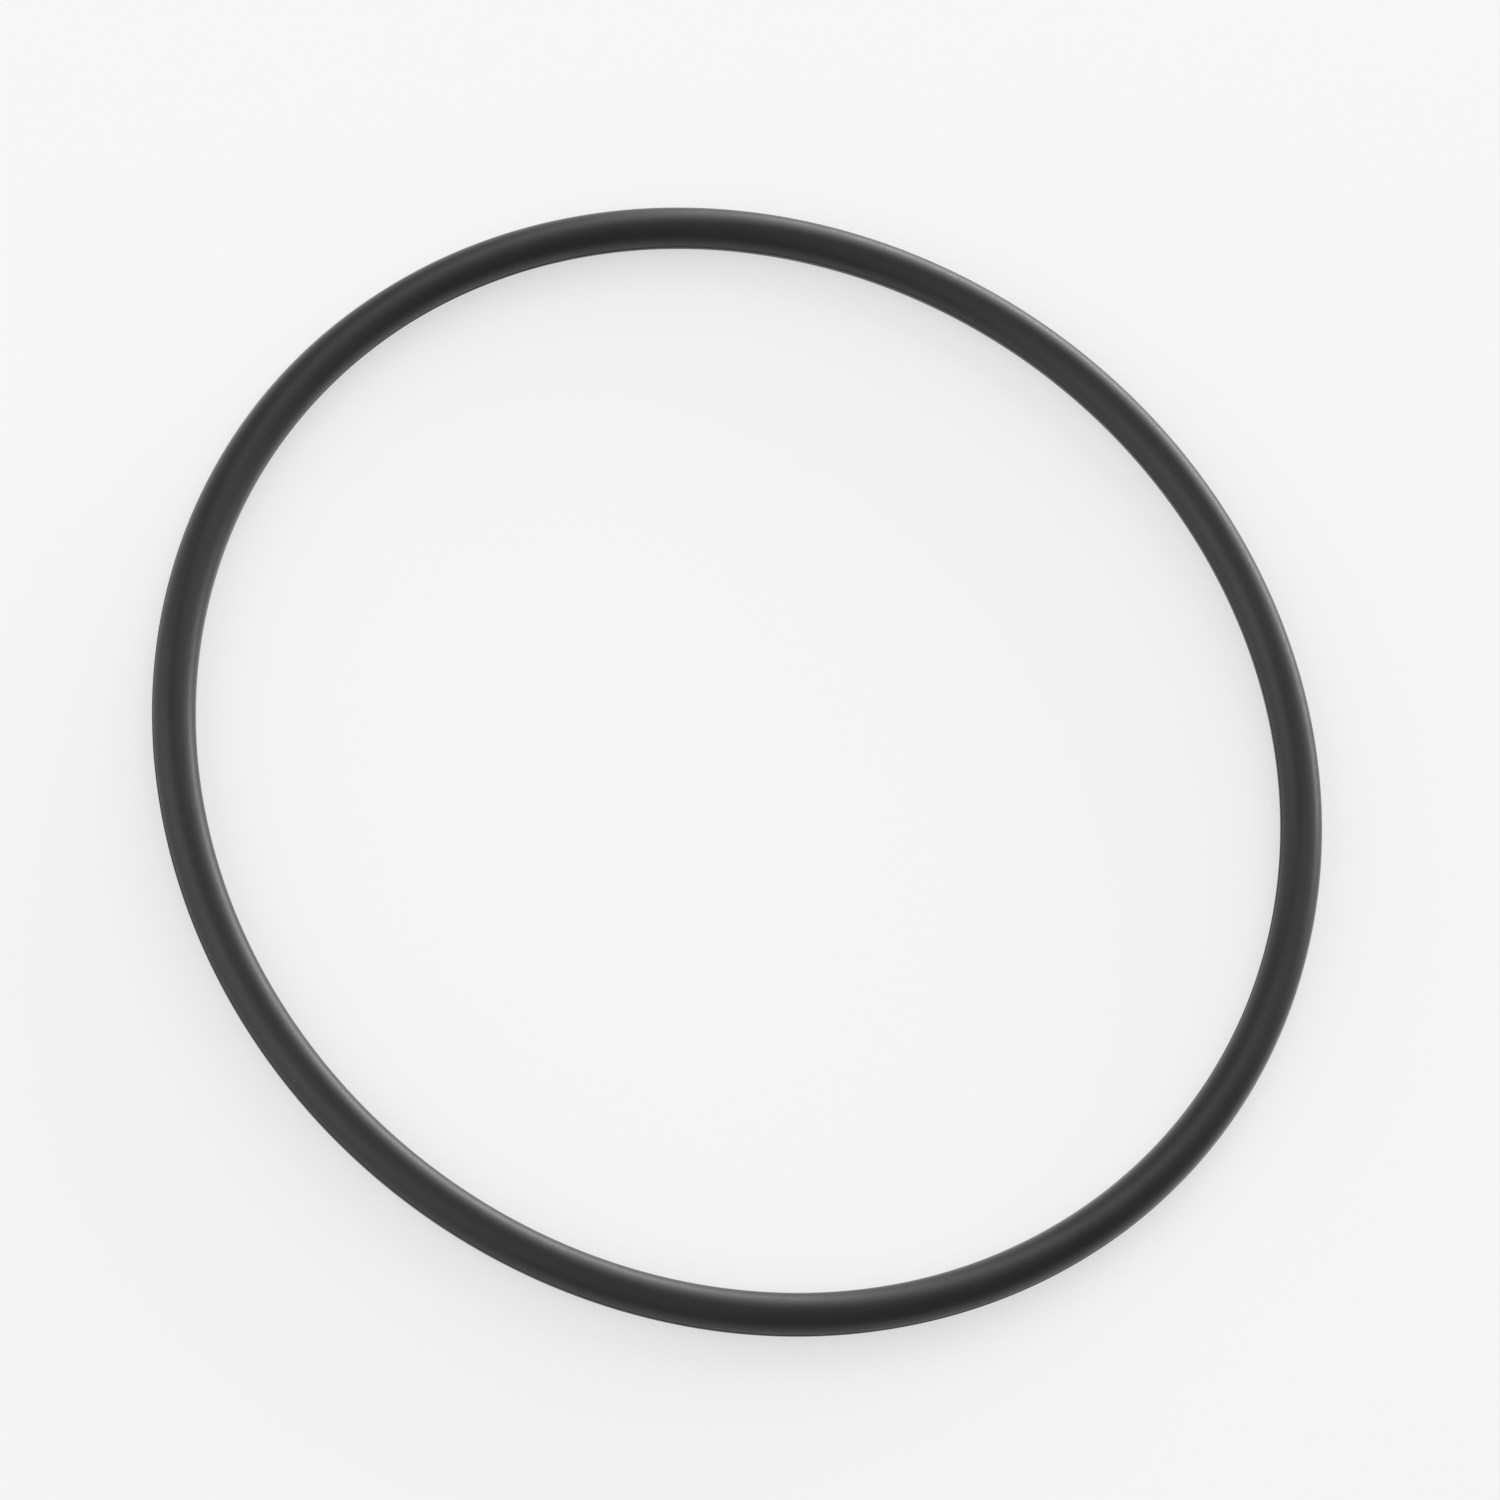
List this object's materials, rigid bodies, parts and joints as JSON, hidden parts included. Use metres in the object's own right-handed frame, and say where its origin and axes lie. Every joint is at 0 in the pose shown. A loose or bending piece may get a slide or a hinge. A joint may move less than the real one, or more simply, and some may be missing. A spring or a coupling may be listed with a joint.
{
  "type": "rubber o-ring",
  "caption": "Moulded rubber sealing ring with a round section, lying flat.",
  "frame": {"origin": "middle of the ring, on its axis and on its parting plane", "axes": "+Z along the ring's axis; the ring lies flat in XY"},
  "size_m": [0.085, 0.085, 0.003],
  "materials": {
    "rubber": "satin"
  },
  "bodies": {
    "root": {"o_ring": "rubber"}
  },
  "joints": []
}
